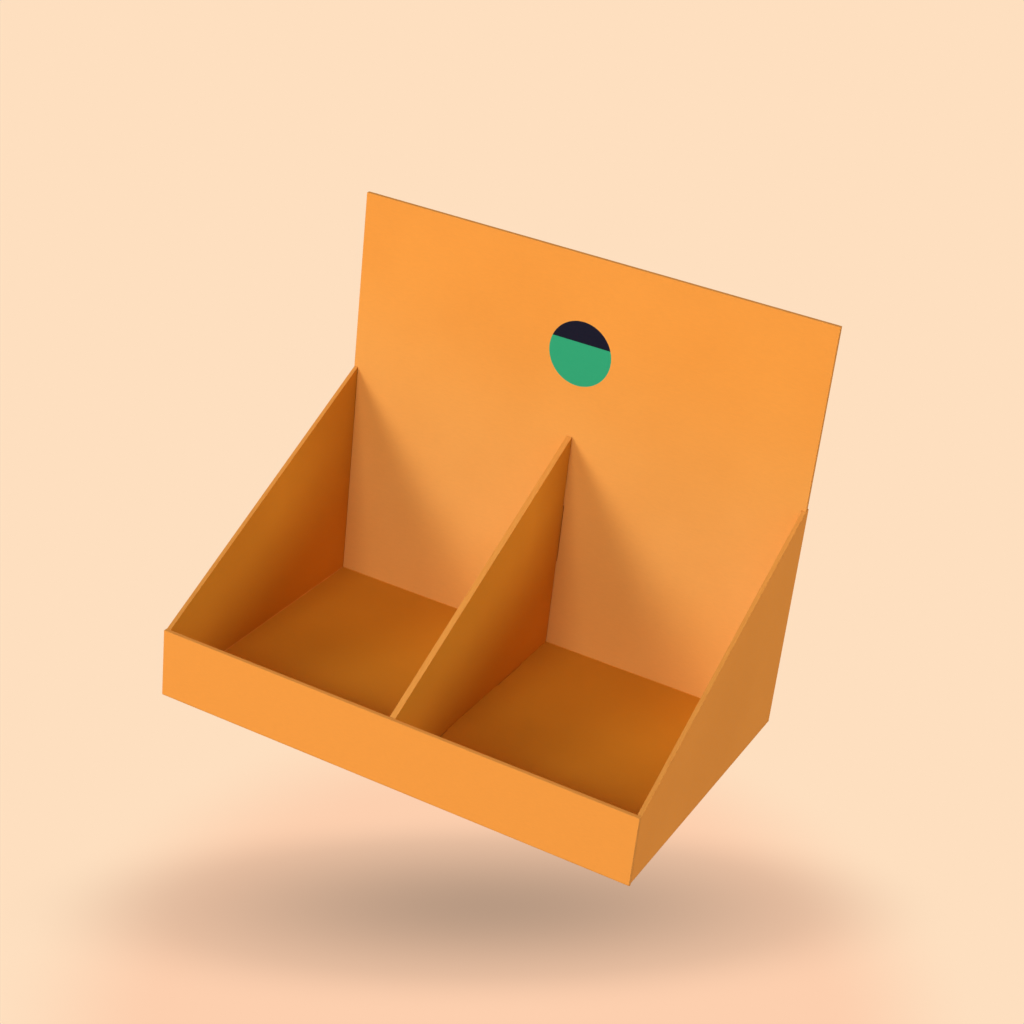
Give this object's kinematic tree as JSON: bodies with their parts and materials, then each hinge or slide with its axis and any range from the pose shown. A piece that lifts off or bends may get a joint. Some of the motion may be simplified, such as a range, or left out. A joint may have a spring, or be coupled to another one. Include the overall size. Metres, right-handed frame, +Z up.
{
  "type": "counter display box",
  "caption": "Counter display box folded from orange board, with a low front, sloping side walls, a tall plain header at the back and a plugged-in centre divider.",
  "frame": {"origin": "on the surface the box stands on, at the middle of its footprint", "axes": "+X to the right of someone facing the box, +Y towards its back, +Z up"},
  "size_m": [0.24, 0.155, 0.205],
  "materials": {
    "orange_board": "matt through-coloured orange board",
    "divider_board": "matt through-coloured orange board, a little thicker"
  },
  "bodies": {
    "root": {"tray": "orange_board", "divider": "divider_board"}
  },
  "joints": []
}
